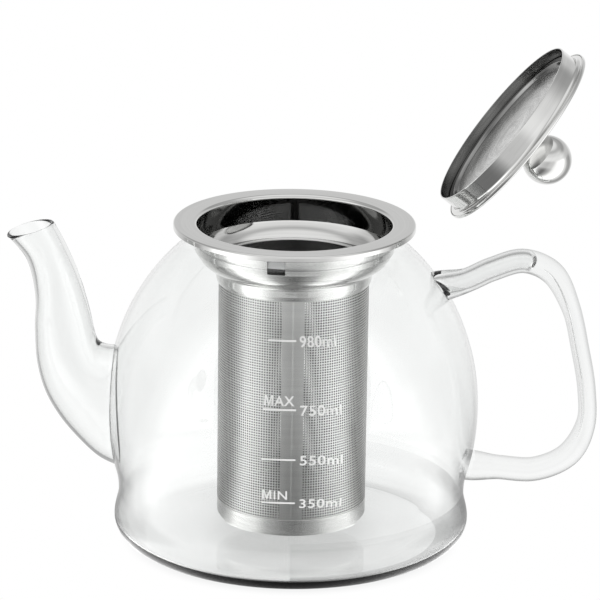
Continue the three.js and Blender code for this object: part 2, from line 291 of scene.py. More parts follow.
def spline(points, t):
    """The centripetal Catmull-Rom curve through the points at t from 0 to 1: between two points it
    is the cubic whose end slopes come from knots spaced by the square root of the distances."""
    points = np.asarray(points, float)
    padded = np.concatenate([[2 * points[0] - points[1]], points, [2 * points[-1] - points[-2]]])
    place = np.clip(t, 0, 1) * (len(points) - 1)
    index = np.minimum(place.astype(int), len(points) - 2)
    w = (place - index)[:, None]
    a, b, c, d = (padded[index + k] for k in range(4))
    ab, bc, cd = (
        np.sqrt(np.linalg.norm(q - p, axis=1, keepdims=True)) for p, q in ((a, b), (b, c), (c, d)))
    leave = ((b - a) / ab - (c - a) / (ab + bc) + (c - b) / bc) * bc
    arrive = ((c - b) / bc - (d - b) / (bc + cd) + (d - c) / cd) * bc
    return cubic(w, b, c, leave, arrive)


def smooth_step(x, start, end):
    """0 before start, 1 after end, and 3u^2 - 2u^3 of the share u between them."""
    u = np.clip((x - start) / (end - start), 0, 1)
    return u * u * (3 - 2 * u)


def signed_volume(vertices, faces):
    """Sum over the faces, fanned into triangles, of a . (b x c) / 6: it is negative inside out."""
    total = 0.0
    for k in range(1, faces.shape[1] - 1):
        a, b, c = (vertices[faces[:, j]] for j in (0, k, k + 1))
        total += np.einsum("ij,ij->i", a, np.cross(b, c)).sum() / 6
    return total


def new_object(name, data):
    """An object of the given mesh or text, put into the scene."""
    obj = bpy.data.objects.new(name, data)
    bpy.context.scene.collection.objects.link(obj)
    return obj


def around(radius, angle, height):
    """Points at a radius, an angle from the front and a height: (r sin a, -r cos a, z)."""
    return np.stack(np.broadcast_arrays(radius * np.sin(angle), -radius * np.cos(angle), height), axis=-1)


def mesh_object(name, vertices, blocks, uv_blocks=None, sharp=math.radians(32), slots=None):
    """A closed mesh object from whole arrays: blocks is a list of face arrays of one size each, and
    slots gives each face the number of its material."""
    if sum(signed_volume(vertices, faces) for faces in blocks) < 0:
        blocks = [faces[:, ::-1] for faces in blocks]
        uv_blocks = uv_blocks and [uv[:, ::-1] for uv in uv_blocks]
    mesh = bpy.data.meshes.new(name)
    mesh.from_pydata(vertices.tolist(), [], [face for faces in blocks for face in faces.tolist()])
    if uv_blocks:
        layer = mesh.uv_layers.new(name="Along")
        uv = np.concatenate([block.reshape(-1) for block in uv_blocks])
        layer.data.foreach_set("uv", uv.astype(np.float32))
    mesh.shade_smooth()
    mesh.set_sharp_from_angle(angle=sharp)
    if slots is not None:
        mesh.polygons.foreach_set("material_index", slots.astype(np.int32))
    mesh.validate()
    return new_object(name, mesh)


def tube_of_rings(name, rings, closed, lengths=None, girth=None):
    """A mesh from rings of points, an array (rings, points, 3). Neighbouring rings are joined by
    quads. If closed, the last ring joins the first. Otherwise both ends close onto a middle point.
    UV runs round the ring to the girth and along the rings as 'lengths' says, in metres."""
    count, points = rings.shape[:2]
    vertices = rings.reshape(-1, 3)
    first = np.arange(count if closed else count - 1)
    second = (first + 1) % count
    column = np.arange(points)
    beside = (column + 1) % points
    quads = np.stack([
        first[:, None] * points + column, first[:, None] * points + beside,
        second[:, None] * points + beside, second[:, None] * points + column], axis=-1).reshape(-1, 4)
    blocks = [quads]
    uv_blocks = None
    if lengths is not None:
        u = np.linspace(0, girth, points + 1)
        grid = [np.stack(np.broadcast_arrays(u[None, column + s], lengths[first + t][:, None]), -1)
                for s, t in ((0, 0), (1, 0), (1, 1), (0, 1))]
        uv_blocks = [np.stack(grid, axis=2).reshape(-1, 4, 2)]
    if not closed:
        vertices = np.concatenate([vertices, rings[:1].mean(1), rings[-1:].mean(1)])
        pole = count * points
        last = (count - 1) * points
        blocks.append(np.stack([beside, column, np.full(points, pole)], 1))
        blocks.append(np.stack([last + column, last + beside, np.full(points, pole + 1)], 1))
        if lengths is not None:
            for row in (0, count - 1):
                level = np.full(points, lengths[row])
                corners = [np.stack([u[column + s], level], -1) for s in (0, 1, 0)]
                uv_blocks.append(np.stack(corners, axis=1))
    return mesh_object(name, vertices, blocks, uv_blocks)


def revolved(name, section, turns=256):
    """The section turned about Z: point (r, z) goes round at every angle. A section is closed on
    itself, or starts and ends on the axis."""
    closed = np.allclose(section[0], section[-1])
    section = supported(section)
    r, z = (section[:-1] if closed else section[1:-1]).T
    rings = around(r[:, None], np.linspace(0, 2 * math.pi, turns, endpoint=False), z[:, None])
    step = np.hypot(np.diff(r, append=r[0]), np.diff(z, append=z[0]))
    lengths = np.concatenate([[0], np.cumsum(step)])
    return tube_of_rings(name, rings, closed, lengths, 2 * math.pi * r.max())


def carved(name, start, joined=(), cut=(), sharp=math.radians(25)):
    """start with the joined solids added and the cut solids taken away, as one new object."""
    for tool, operation in [(t, "UNION") for t in joined] + [(t, "DIFFERENCE") for t in cut]:
        modifier = start.modifiers.new(operation, "BOOLEAN")
        modifier.operation = operation
        modifier.object = tool
        modifier.solver = "MANIFOLD"
    shown = start.evaluated_get(bpy.context.evaluated_depsgraph_get())
    mesh = bpy.data.meshes.new_from_object(shown)
    mesh.name = name
    mesh.shade_smooth()
    mesh.set_sharp_from_angle(angle=sharp)
    for used in (start, *joined, *cut):
        bpy.data.objects.remove(used)
    return new_object(name, mesh)


def paint_faces(obj, chosen):
    """Gives each face the number of its material, worked out by 'chosen' from its middle (x, y, z):
    true counts as 1, the second material."""
    middles = np.empty(len(obj.data.polygons) * 3)
    obj.data.polygons.foreach_get("center", middles)
    obj.data.polygons.foreach_set("material_index", chosen(*middles.reshape(-1, 3).T).astype(np.int32))


# Material tools


def feed(tree, node, **inputs):
    """Links each given socket, or sets each given value, to the node's input of that name."""
    for name, value in inputs.items():
        socket = node.inputs[name.replace("_", " ")]
        if isinstance(value, bpy.types.NodeSocket):
            tree.links.new(value, socket)
        else:
            socket.default_value = value


def add(tree, kind, *given, **settings):
    """A shader node. Keywords set its own settings and feed its inputs, and what is given in order
    feeds its inputs in their order."""
    node = tree.nodes.new(kind)
    for key, value in settings.items():
        if hasattr(node, key):
            setattr(node, key, value)
        else:
            feed(tree, node, **{key: value})
    for socket, value in zip(node.inputs, given):
        if isinstance(value, bpy.types.NodeSocket):
            tree.links.new(value, socket)
        else:
            socket.default_value = value
    return node


def calculate(tree, operation, *given):
    """The result of a Math node."""
    return add(tree, "ShaderNodeMath", *given, operation=operation).outputs[0]


def ranged(tree, value, start, end, low=0.0, high=1.0, smooth=False):
    """A value that goes from low to high as the given one goes from start to end, straight or as a
    smooth step."""
    return add(
        tree, "ShaderNodeMapRange", interpolation_type="SMOOTHSTEP" if smooth else "LINEAR",
        Value=value, From_Min=start, From_Max=end, To_Min=low, To_Max=high).outputs["Result"]


def mixed(tree, share, a, b, kind="RGBA"):
    """The mix of two colours or, with the kind FLOAT, of two values."""
    return add(tree, "ShaderNodeMix", data_type=kind, Factor=share, A=a, B=b).outputs["Result"]


def noise(tree, vector, **settings):
    """The value of a noise pattern."""
    return add(tree, "ShaderNodeTexNoise", Vector=vector, **settings).outputs["Fac"]


def ramp(tree, value, stops, start=0.0, end=1.0, tint=(1.0, 1.0, 1.0)):
    """A tint made brighter and darker through (place, brightness) stops, eased between them, with
    places from start to end."""
    node = add(tree, "ShaderNodeValToRGB", Fac=value)
    node.color_ramp.interpolation = "EASE"
    elements = node.color_ramp.elements
    elements.remove(elements[1])
    for i, (where, level) in enumerate(stops):
        place = (where - start) / (end - start)
        stop = elements[0] if i == 0 else elements.new(place)
        stop.position = place
        stop.color = (*[c * level for c in tint], 1.0)
    return node.outputs["Color"]


def group(name, inputs, outputs):
    """A shader node group with named sockets; returns it with what it is given and its results."""
    tree = bpy.data.node_groups.new(name, "ShaderNodeTree")
    for label, (kind, value) in inputs.items():
        socket = tree.interface.new_socket(label, in_out="INPUT", socket_type=kind)
        if value is not None:
            socket.default_value = value
    for label, kind in outputs.items():
        tree.interface.new_socket(label, in_out="OUTPUT", socket_type=kind)
    return tree, tree.nodes.new("NodeGroupInput").outputs, tree.nodes.new("NodeGroupOutput")


def brushed_group():
    """Fine lines that run round a turned piece: noise stretched along the first axis of the given
    coordinates, once fine and once coarse, put out as a value and as a bumped normal."""
    if "Brushed lines" in bpy.data.node_groups:
        return bpy.data.node_groups["Brushed lines"]
    tree, given, result = group(
        "Brushed lines",
        {"Vector": ("NodeSocketVector", None), "Lines": ("NodeSocketFloat", 4000.0),
         "Length": ("NodeSocketFloat", 60.0), "Strength": ("NodeSocketFloat", 0.1)},
        {"Value": "NodeSocketFloat", "Normal": "NodeSocketVector"})
    split = add(tree, "ShaderNodeSeparateXYZ", given["Vector"]).outputs
    along = calculate(tree, "MULTIPLY", split["X"], given["Length"])
    across = calculate(tree, "MULTIPLY", split["Y"], given["Lines"])
    stretched = add(tree, "ShaderNodeCombineXYZ", along, across).outputs[0]
    fine = noise(tree, stretched, Scale=1.0, Detail=2.0, Roughness=0.6)
    coarse = noise(tree, stretched, Scale=0.21, Detail=1.0, Roughness=0.5)
    value = calculate(tree, "MULTIPLY", calculate(tree, "ADD", fine, coarse), 0.5)
    bump = add(tree, "ShaderNodeBump", Height=value, Strength=given["Strength"], Distance=0.00004)
    feed(tree, result, Value=value, Normal=bump.outputs["Normal"])
    return tree


def handling_group():
    """Faint marks of handling: soft blotches of noise times a few thin wipe streaks, put out as a
    mask and as a roughness from Low to High."""
    if "Handling marks" in bpy.data.node_groups:
        return bpy.data.node_groups["Handling marks"]
    tree, given, result = group(
        "Handling marks",
        {"Vector": ("NodeSocketVector", None), "Size": ("NodeSocketFloat", 60.0),
         "Low": ("NodeSocketFloat", 0.05), "High": ("NodeSocketFloat", 0.12)},
        {"Roughness": "NodeSocketFloat", "Mask": "NodeSocketFloat"})
    blotch = noise(
        tree, given["Vector"], Scale=given["Size"], Detail=4.0, Roughness=0.55, Distortion=0.6)
    streaks = add(
        tree, "ShaderNodeMapping", Vector=given["Vector"], Scale=(1, 1, 6), Rotation=(0.5, 0.3, 0))
    wipe = noise(tree, streaks.outputs["Vector"], Scale=90.0, Detail=3.0, Roughness=0.6)
    mask = ranged(tree, calculate(tree, "MULTIPLY", blotch, wipe), 0.12, 0.42)
    feed(tree, result, Roughness=ranged(tree, mask, 0.0, 1.0, given["Low"], given["High"]), Mask=mask)
    return tree


def material(name):
    """A new material with its node tree, its Principled shader and the coordinates."""
    made = bpy.data.materials.new(name)
    made.use_nodes = True
    tree = made.node_tree
    shader = next(node for node in tree.nodes if node.type == "BSDF_PRINCIPLED")
    return made, tree, shader, tree.nodes.new("ShaderNodeTexCoord").outputs


def placed(tree, made_group, vector, **values):
    """What a group node puts out, fed with coordinates and its own values."""
    return add(tree, "ShaderNodeGroup", node_tree=made_group, Vector=vector, **values).outputs


def glass_material(sizes, name, stops):
    """Clear blown glass: a plain glass shader with faint waves in its surface, and a tint that grows
    greyer where the surface is seen edge on: a little of it is the longer way through the glass,
    most of it is painted shade on the glass's edges."""
    made, tree, shader, place = material(name)
    facing = add(tree, "ShaderNodeLayerWeight", Blend=0.5).outputs["Facing"]
    waves = noise(tree, place["Object"], Scale=45.0, Detail=1.0, Roughness=0.4)
    bump = add(tree, "ShaderNodeBump", Strength=1.0, Distance=sizes.ripple, Height=waves)
    feed(tree, shader, Metallic=0.0, Roughness=0.0, IOR=1.47, Transmission_Weight=1.0,
         Base_Color=ramp(tree, facing, stops, tint=sizes.tint), Normal=bump.outputs["Normal"])
    return made


def steel_material(name, colour, lines, strength, low_roughness, high_roughness, contrast=0.07):
    """Stainless steel: lines round the piece along its own UV, and handling marks in the gloss."""
    made, tree, shader, place = material(name)
    brushed = placed(tree, brushed_group(), place["UV"], Lines=lines, Strength=strength)
    marks = placed(tree, handling_group(), place["Object"], Low=low_roughness, High=high_roughness)
    dark, light = ((*tinted(colour, level), 1.0) for level in (1 - contrast, 1 + contrast))
    shade = mixed(tree, ranged(tree, brushed["Value"], 0.3, 0.7), dark, light)
    feed(tree, shader, Metallic=1.0, Base_Color=shade, Roughness=marks["Roughness"],
         Normal=brushed["Normal"])
    return made


def tinted(colour, level):
    """The colour made lighter or darker by a level, up to white."""
    return [min(1.0, c * level) for c in colour]


def finished(obj, made, body, slot, *nodes):
    """Gives a piece its material, or its materials in the order of their numbers, hangs it on its
    body's empty and hides the CAD nodes that it stands for."""
    numbers = np.zeros(len(obj.data.polygons), np.int32)
    obj.data.polygons.foreach_get("material_index", numbers)
    obj.data.materials.clear()
    for each in made if isinstance(made, tuple) else (made,):
        obj.data.materials.append(each)
    obj.data.polygons.foreach_set("material_index", numbers)
    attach(obj, body)
    if nodes:
        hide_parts(*nodes)


# Glass


def belly_radius(sizes, z):
    """Radius of the belly at height z: the ellipse R sqrt(1 - ((z - middle) / rise)^2)."""
    return BELLY_RADIUS * np.sqrt(np.maximum(0, 1 - ((z - sizes.belly_height) / sizes.belly_rise) ** 2))


def body_outline(sizes):
    """The outside of the body from the edge of its underside to its rim: a quarter ellipse for the
    foot, a smooth step in to the waist, a cubic that leaves the waist upright and meets the
    belly's ellipse at its slope, the ellipse, and the straight neck."""
    foot = arc((sizes.foot_radius - sizes.foot_width, sizes.foot_height), sizes.foot_width,
               sizes.foot_height, -90, 0, 24)
    share = np.linspace(0, 1, 13)[1:]
    hip = np.stack([
        sizes.foot_radius + (sizes.waist_radius - sizes.foot_radius) * smooth_step(share, 0, 1),
        sizes.foot_height + (sizes.waist_height - sizes.foot_height) * share], axis=1)
    start = sizes.belly_start
    drop = start - sizes.belly_height
    meet = belly_radius(sizes, start)
    slope = -(BELLY_RADIUS**2) * drop / (sizes.belly_rise**2 * meet)
    w = np.linspace(0, 1, 12)[1:]
    span = start - sizes.waist_height
    rise = np.stack([
        cubic(w, sizes.waist_radius, meet, 0.0, slope * span), sizes.waist_height + span * w], axis=1)
    neck_foot = sizes.belly_height + sizes.belly_rise * math.sqrt(
        1 - (sizes.neck_radius / BELLY_RADIUS) ** 2)
    z = start + (neck_foot - start) * (1 - (1 - np.linspace(0, 1, 72)[1:]) ** 1.25)
    belly = np.stack([belly_radius(sizes, z), z], axis=1)
    bend = filleted([(*belly[-6], 0), (*belly[-1], 0.005), (sizes.neck_radius, NECK_TOP - 0.001, 0)])
    return np.concatenate([foot, hip, rise, belly[:-6], bend])


RIM_ROUND = 0.0007  # height of the fire-polished rim's rounding
ABOVE_RIM = 0.003  # how far a cutting tool runs on past a rim


def body_solids(sizes):
    """The body's outer solid and the solid of its hollow, which runs on above the rim."""
    outline = body_outline(sizes)
    half, middle = sizes.wall / 2, (sizes.neck_radius - sizes.wall / 2, NECK_TOP - RIM_ROUND)
    rim = arc(middle, half, RIM_ROUND, 0, 90, 6)
    outer = np.concatenate([[[0, 0]], outline, rim, [[0, NECK_TOP]]])
    wall = moved(outline, -sizes.wall)[25:]
    cove = arc((sizes.foot_radius - sizes.foot_width, sizes.foot_height), sizes.foot_width - sizes.wall,
               sizes.foot_height - sizes.floor, -90, 0, 26)
    top = arc(middle, -half, RIM_ROUND, 0, 88, 6)
    hollow = np.concatenate([
        [[0, sizes.floor]], cove, wall, top, top[-1:] + [0, ABOVE_RIM], [[0, NECK_TOP + ABOVE_RIM]]])
    return revolved("body outside", outer, 288), revolved("body hollow", hollow, 288)


SPOUT_LOWER = [
    (-0.0590, 0.0245), (-0.0668, 0.0283), (-0.0740, 0.0349), (-0.0806, 0.0428), (-0.0856, 0.0516),
    (-0.0885, 0.0620), (-0.0893, 0.0740), (-0.0892, 0.0870), (-0.0923, 0.1002), (-0.0989, 0.1086),
]
SPOUT_UPPER = [
    (-0.0586, 0.0690), (-0.0636, 0.0686), (-0.0672, 0.0701), (-0.0688, 0.0742), (-0.0698, 0.0794),
    (-0.0712, 0.0850), (-0.0729, 0.0910), (-0.0750, 0.0970), (-0.0782, 0.1044), (-0.0826, 0.1130),
]


def ellipse_rings(centre, across, side, points):
    """Rings of points at centre + across cos a + side sin a, one ring for each row of the arrays."""
    angle = np.linspace(0, 2 * math.pi, points, endpoint=False)[None, :, None]
    return centre[:, None] + across[:, None] * np.cos(angle) + side[:, None] * np.sin(angle)


def spout_rings(sizes, t, inset, onward):
    """Rings of the spout: each is the ellipse between the lower and the upper edge at t, drawn in
    by inset and moved onward along the spout. Its half width swells smoothly towards the root."""
    lower, upper = spline(SPOUT_LOWER, t), spline(SPOUT_UPPER, t)
    chord = upper - lower
    length = np.linalg.norm(chord, axis=1)
    across = chord / length[:, None]
    centre = (lower + upper) / 2 + np.stack([-across[:, 1], across[:, 0]], axis=1) * onward[:, None]
    half = length / 2 - inset
    wide = sizes.spout_mouth + sizes.spout_swell * (1 - smooth_step(t, -0.1, 0.8)) - inset
    zero = np.zeros(len(t))
    return ellipse_rings(
        np.stack([centre[:, 0], zero, centre[:, 1]], 1),
        np.stack([across[:, 0] * half, zero, across[:, 1] * half], 1),
        np.stack([zero, -wide, zero], 1), 112)


def spout_solids(sizes):
    """The spout's outer solid and its bore. At the mouth both roll over a quarter circle, so that
    the rim between them is round. The bore runs on past the mouth and into the pot."""
    wall = sizes.spout_wall
    t = np.linspace(0, 0.985, 150)
    roll = np.radians(np.linspace(0, 90, 9))
    mouth = np.ones(len(roll))
    zero = np.zeros(len(t))
    outer = spout_rings(
        sizes, np.concatenate([t, mouth]),
        np.concatenate([zero, wall / 2 * (1 - np.cos(roll))]),
        np.concatenate([zero, wall / 2 * (np.sin(roll) - 1)]))
    flare = np.concatenate([wall - (wall / 2 - 0.00003) * (1 - np.cos(roll)), [wall / 2 + 0.00003]])
    rise = np.concatenate([wall / 2 * (np.sin(roll) - 1), [ABOVE_RIM]])
    bore = spout_rings(
        sizes, np.concatenate([[0], t, mouth, [1]]),
        np.concatenate([[wall], zero + wall, flare]),
        np.concatenate([[-0.012], zero, rise]))
    return tube_of_rings("spout outside", outer, False), tube_of_rings("spout bore", bore, False)


HANDLE_LINE = [
    (0.0460, 0.0910), (0.0588, 0.0938), (0.0680, 0.0981), (0.0790, 0.1013), (0.0888, 0.0972),
    (0.0956, 0.0850), (0.0994, 0.0698), (0.1021, 0.0550), (0.1022, 0.0424), (0.0966, 0.0312),
    (0.0853, 0.0256), (0.0715, 0.0260), (0.0575, 0.0269),
]


def handle_rings(share, half, wide, points, inward=0.0):
    """Rings square to the handle's line at shares of its length, with given half sizes, moved
    inward towards the pot."""
    dense = spline(HANDLE_LINE, np.linspace(0, 1, 2401))
    run = np.concatenate([[0], np.cumsum(np.linalg.norm(np.diff(dense, axis=0), axis=1))])
    way = np.gradient(dense, run, axis=0)
    at = share * run[-1]
    x, z, dx, dz = (np.interp(at, run, column) for column in (*dense.T, *way.T))
    size = np.hypot(dx, dz)
    x, z = x + dz / size * inward, z - dx / size * inward
    zero = np.zeros(len(share))
    return ellipse_rings(
        np.stack([x, zero, z], 1), np.stack([-dz / size * half, zero, dx / size * half], 1),
        np.stack([zero, wide, zero], 1), points)


HOLLOW_CAP = 0.022  # share of the handle's length over which the hollow's end closes
THREAD_RADIUS = 0.0003  # half the height of the air thread
THREAD_SPAN = (0.27, 0.7)  # shares of the handle's length between which the thread runs
THREAD_OFFSET = 0.17  # how far inward the thread lies, as a share of the grip's half thickness


def handle_solids(sizes):
    """The handle's outer solid, thinner along the grip and flared at both roots, the hollow in its
    upper arm, which runs at one size and closes with a round end, and the hair-fine air thread that
    the hollow leaves along the inner side where the glass was drawn out."""
    share = np.linspace(0, 1, 260)
    grip = smooth_step(share, 0.28, 0.42) * (1 - smooth_step(share, 0.62, 0.74))
    root = (1 - smooth_step(np.minimum(share, 1 - share), 0.03, 0.1)) * sizes.handle_flare
    half = sizes.handle_thick + (sizes.handle_slim - sizes.handle_thick) * grip + root
    outer = handle_rings(share, half, sizes.handle_wide + root, 56)
    inner = sizes.hollow_end * (1 - np.linspace(1, 0, 90) ** 2)
    u = np.clip((inner - sizes.hollow_end + HOLLOW_CAP) / HOLLOW_CAP, 0, 1)
    closing = np.sqrt(np.maximum(1e-4, 1 - u**2))
    hollow = handle_rings(inner, sizes.hollow_radius * closing, (sizes.hollow_radius + 0.0004) * closing, 48)
    fine = THREAD_RADIUS * np.sqrt(np.maximum(1e-3, np.sin(np.linspace(0, math.pi, 150))))
    thread = handle_rings(
        np.linspace(*THREAD_SPAN, 150), fine, fine * 3, 12, sizes.handle_slim * THREAD_OFFSET)
    return (tube_of_rings("handle outside", outer, False), tube_of_rings("handle hollow", hollow, False),
            tube_of_rings("handle thread", thread, False))


# Painted shade on the glass: each kind darkens towards its edges, the drawn handle most, the spout greyer
# all over, the foot least.
GLASS_EDGE_PAINTED_SHADE = {  # for each kind of glass: how far the surface turns away, and its brightness there
    "Clear glass": ((0.0, 0.995), (0.8, 0.985), (0.9, 0.8), (0.96, 0.5), (1.0, 0.3)),
    "Drawn glass": ((0.1, 0.92), (0.4, 0.86), (0.56, 0.7), (0.7, 0.5), (0.95, 0.3)),
    "Spout glass": ((0.0, 0.975), (0.5, 0.97), (0.75, 0.88), (0.92, 0.6), (1.0, 0.4)),
    "Foot glass": ((0.0, 0.995), (0.8, 0.98), (0.9, 0.94), (0.96, 0.9), (1.0, 0.85)),
}


class TEAPOT_OT_glass(bpy.types.Operator):
    """Blows the pot: body, spout and handle joined into one piece of glass"""

    bl_idname = "teapot.glass"
    bl_label = "Glass pot"

    def execute(self, context):
        sizes = context.scene.teapot_glass
        body, hollow = body_solids(sizes)
        spout, bore = spout_solids(sizes)
        handle, cavity, thread = handle_solids(sizes)
        pot = carved("pot_glass", body, (spout, handle), (hollow, bore, cavity, thread))

        def part(x, y, z):
            """0 for the body, 1 for the handle, 2 for the spout and 3 for the foot."""
            shoulder = NECK_TOP - 0.012
            outside = np.hypot(x, y) > np.where(z < shoulder, belly_radius(sizes, z) + 0.0012, 0.043)
            body = np.where(z < sizes.foot_height + 0.0027, 3, 0)
            return np.where(outside & (x > 0), 1, np.where(outside & (x < -0.05), 2, body))

        paint_faces(pot, part)
        made = tuple(glass_material(sizes, name, stops) for name, stops in GLASS_EDGE_PAINTED_SHADE.items())
        finished(pot, made, "pot", "clear_glass", "glass_body", "glass_spout", "glass_handle")
        return {"FINISHED"}


# Infuser


def collar_section(sizes):
    """The sheet of the collar, upper face first: hem, flange, lip, bowl wall, crease, funnel and
    throat. The funnel is an arc of an ellipse from the crease to the throat's fillet."""
    wall = sizes.bowl_radius
    bend = math.radians(25)
    middle = 0.0269
    width = (wall - middle) / math.cos(bend)
    funnel = arc((middle, RIM - sizes.bowl_depth + 0.01 * math.sin(bend)), width, 0.01, -25, -72, 22)
    throat = arc((sizes.throat_radius + 0.0018, RIM - sizes.throat_start), 0.0018, 0.0018, 115, 180, 10)
    top = filleted([
        (FLANGE_RADIUS, RIM - sizes.hem, 0), (FLANGE_RADIUS, RIM, 0.0007),
        (wall, RIM, sizes.lip), (wall, RIM - sizes.bowl_depth, 0)])
    foot = RIM - sizes.throat_depth
    path = np.concatenate([top[:-1], funnel, throat, [
        [sizes.throat_radius, foot + 0.0012], [sizes.throat_radius - 0.0001, foot + 0.0005],
        [sizes.throat_radius - 0.00025, foot]]])
    return sheet_section(path, -sizes.sheet)


def vent_cutter(sizes):
    """A box with rounded edges across the bowl's wall, as a loft of rounded rectangles."""
    half = sizes.vent_width / 2
    tall = (sizes.vent_bottom - sizes.vent_top) / 2
    corner = 0.0004
    corners = [(-half, -tall), (half, -tall), (half, tall), (-half, tall)]
    outline = filleted([(*place, corner) for place in corners], True)[:-1]
    depth = np.array([-0.003, 0.003]) - sizes.bowl_radius
    x, z = outline.T
    rings = np.stack(np.broadcast_arrays(x, depth[:, None], z + RIM - sizes.vent_top - tall), axis=-1)
    turn = np.array(Matrix.Rotation(sizes.vent_turn, 3, "Z"))
    return tube_of_rings("vent", rings @ turn.T, False)


class TEAPOT_OT_collar(bpy.types.Operator):
    """Presses the infuser's collar and cuts its vent window"""

    bl_idname = "teapot.collar"
    bl_label = "Infuser collar"

    def execute(self, context):
        sizes = context.scene.teapot_infuser
        pressed = revolved("collar", collar_section(sizes))
        collar = carved("collar", pressed, (), (vent_cutter(sizes),), math.radians(16))
        made = steel_material("Polished steel", sizes.colour, 5000.0, 0.06, 0.05, 0.11)
        # Painted shade: a darker copy of the steel, given to the bowl's inner wall below the lip.
        wall = steel_material("Painted shade bowl wall", tinted(sizes.colour, 0.3), 900.0, 0.02, 0.04, 0.1)
        paint_faces(collar, lambda x, y, z: (np.hypot(x, y) < sizes.bowl_radius + 0.0002)
                    & (z > RIM - sizes.bowl_depth) & (z < RIM - sizes.lip))
        finished(collar, (made, wall), "infuser", "polished_steel", "infuser_collar")
        # Painted highlight and painted shade: a brighter copy of the steel on the tongue's middle and a
        # nearly black copy on its ends.
        bright = steel_material("Painted highlight tongue", tinted(sizes.colour, 1.5), 900.0, 0.02, 0.5, 0.6)
        ends = steel_material("Painted shade tongue ends", tinted(sizes.colour, 0.08), 900.0, 0.02, 0.4, 0.5)
        finished(self.tab(sizes), (bright, ends), "infuser", "polished_steel")
        return {"FINISHED"}

    def tab(self, sizes):
        """The small tongue behind the vent window, in the wall's thickness: a strip whose middle
        leans back as it rises and whose ends lean forward. Its middle is a painted highlight and its
        ends painted shade, so that only its middle is bright."""
        across = np.linspace(-1, 1, 17) * (sizes.vent_width / 2 + 0.0004)
        front = np.array([(0.0003, -0.0098), (0.0001, -0.0070), (0.0006, -0.0038), (0.0004, -0.0021)])
        low_bend, high_bend = RIM - 0.0069, RIM - 0.0039
        inward, height = np.concatenate([front, front[::-1] + (0.00015, 0)]).T
        turned = across[:, None] / sizes.bowl_radius + sizes.vent_turn
        rings = around(sizes.bowl_radius - inward, turned, height + RIM)
        tongue = tube_of_rings("vent_tongue", rings, False)
        # The ends take the second material, the painted shade.
        paint_faces(tongue, lambda x, y, z: (z < low_bend) | (z > high_bend))
        return tongue


def perforated(name, sizes, place, columns, rows):
    """A closed perforated sheet of columns x rows cells. Each cell is a square round an eight-sided
    hole: its front and back are eight quads between the hole and the square's corners and edge
    middles, and eight quads line the hole. 'place' bends flat (across, up, depth) into space."""
    pitch, hole = sizes.pitch, sizes.hole
    column, row = np.divmod(np.arange(columns * rows), rows)
    way = np.array([(1, 0), (1, 1), (0, 1), (-1, 1), (-1, 0), (-1, -1), (0, -1), (1, -1)])
    tall = 2 * rows + 1
    border = (2 * column[:, None] + 1 + way[:, 0]) * tall + 2 * row[:, None] + 1 + way[:, 1]
    used, border = np.unique(border, return_inverse=True)
    border = border.reshape(-1, 8)
    lattice = np.stack([used // tall, used % tall], axis=1) * pitch / 2
    angle = np.arange(8) * math.pi / 4
    ring = np.stack([np.cos(angle), np.sin(angle)], axis=1) * hole
    middle = np.stack([2 * column + 1, 2 * row + 1], axis=1) * pitch / 2
    holes = (middle[:, None] + ring).reshape(-1, 2)
    flat = np.concatenate([lattice, holes])
    layer = len(flat)
    inner = len(lattice) + np.arange(len(holes)).reshape(-1, 8)
    nextb, nexti = np.roll(border, -1, axis=1), np.roll(inner, -1, axis=1)
    front = np.stack([border, nextb, nexti, inner], axis=-1).reshape(-1, 4)
    lining = np.stack([inner, nexti, nexti + layer, inner + layer], axis=-1).reshape(-1, 4)
    i, j = used // tall, used % tall
    sides = []
    for chosen, order in ((j == 0, i), (i == 2 * columns, j), (j == 2 * rows, -i), (i == 0, -j)):
        edge = np.flatnonzero(chosen)
        edge = edge[np.argsort(order[chosen])]
        sides.append(np.stack([edge[:-1], edge[:-1] + layer, edge[1:] + layer, edge[1:]], axis=-1))
    faces = np.concatenate([front, front[:, ::-1] + layer, lining, *sides])
    depth = np.repeat([0.0, -sizes.basket_sheet], layer)
    points = place(np.tile(flat, (2, 1)), depth)
    uv = np.tile(flat, (2, 1))[faces]
    # The back and the hole linings take the second material, which the sleeve gives as painted shade.
    inside = np.arange(len(faces)) >= len(front)
    return mesh_object(name, points, [faces], [uv], slots=inside)


def wrapped(radius, start, bottom, stretch):
    """Bends (across, up) and depth round the basket: the angle is start + stretch across / radius."""

    def place(flat, depth):
        return around(radius + depth, start + flat[:, 0] * stretch / radius, bottom + flat[:, 1])

    return place


